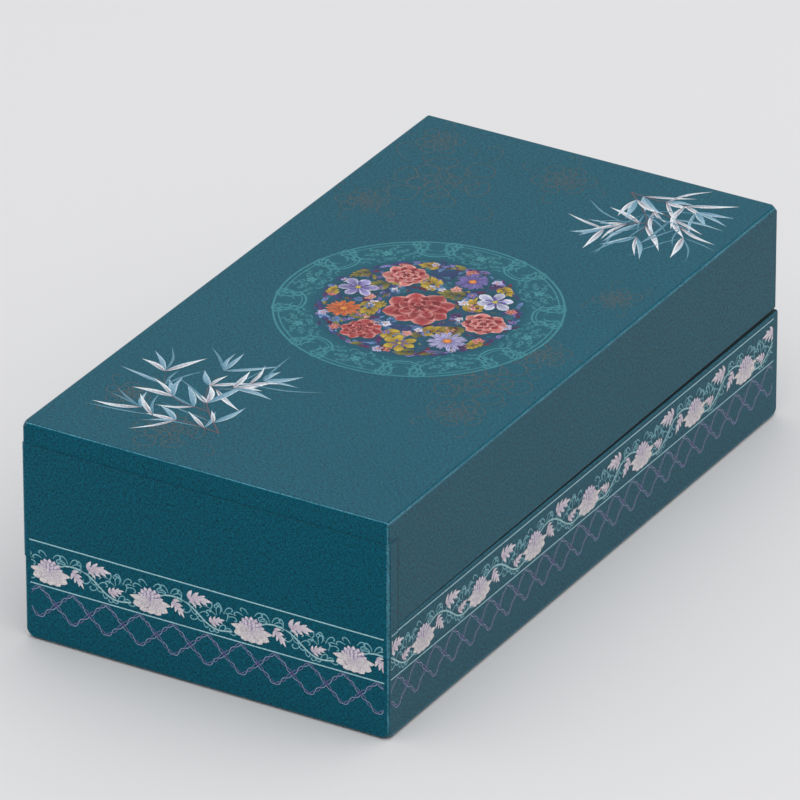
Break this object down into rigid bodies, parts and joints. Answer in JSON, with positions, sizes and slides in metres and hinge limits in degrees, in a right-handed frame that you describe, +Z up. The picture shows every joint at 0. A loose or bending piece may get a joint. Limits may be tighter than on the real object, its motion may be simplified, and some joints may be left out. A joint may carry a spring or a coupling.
{
  "type": "hinged presentation box",
  "caption": "Long low paper-wrapped board box with a printed lid hinged on one short end by a paper strip, a raised neck and a lift-out divided tray.",
  "frame": {"origin": "middle of the underside, on the surface the box stands on", "axes": "+X along the length from the paper hinge to the opening end, +Y from the front long side to the back one, +Z up"},
  "size_m": [0.32, 0.17, 0.098],
  "materials": {
    "printed_paper": "linen-grained matt print, deep teal",
    "underside_paper": "plain matt, dark teal",
    "lining_paper": "plain matt, ivory",
    "grey_board": "raw grey board",
    "neck_board": "wrapped in dark teal paper",
    "tray_board": "wrapped in ivory paper",
    "magnet": "bright plated"
  },
  "bodies": {
    "base": {"base_floor_board": "grey_board", "base_front_wall": "grey_board", "base_back_wall": "grey_board", "base_hinge_wall": "grey_board", "base_end_wall": "grey_board", "base_side_wrap": "printed_paper", "base_bottom_sheet": "underside_paper", "base_floor_lining": "lining_paper", "hinge_leaf_base": "printed_paper", "neck_front": "neck_board", "neck_back": "neck_board", "neck_end": "neck_board", "neck_hinge": "neck_board", "neck_magnets": "magnet"},
    "lid": {"lid_top_board": "grey_board", "lid_front_wall": "grey_board", "lid_back_wall": "grey_board", "lid_hinge_wall": "grey_board", "lid_end_wall": "grey_board", "lid_top_sheet": "printed_paper", "lid_side_wrap": "printed_paper", "lid_lining": "lining_paper", "lid_magnets": "magnet", "hinge_leaf_lid": "printed_paper"},
    "tray": {"tray_floor": "tray_board", "tray_front_wall": "tray_board", "tray_back_wall": "tray_board", "tray_hinge_wall": "tray_board", "tray_end_wall": "tray_board", "tray_long_divider": "tray_board", "tray_cross_divider_1": "tray_board", "tray_cross_divider_2": "tray_board"}
  },
  "joints": [
    {"name": "lid_hinge", "type": "hinge", "parent": "base", "child": "lid", "pos_m": [-0.16015, 0, 0.0493], "axis": [0, -1, 0], "range_deg": [0, 180]},
    {"name": "tray_lift", "type": "slide", "parent": "base", "child": "tray", "axis": [0, 0, 1], "range_m": [0, 0.045]}
  ]
}
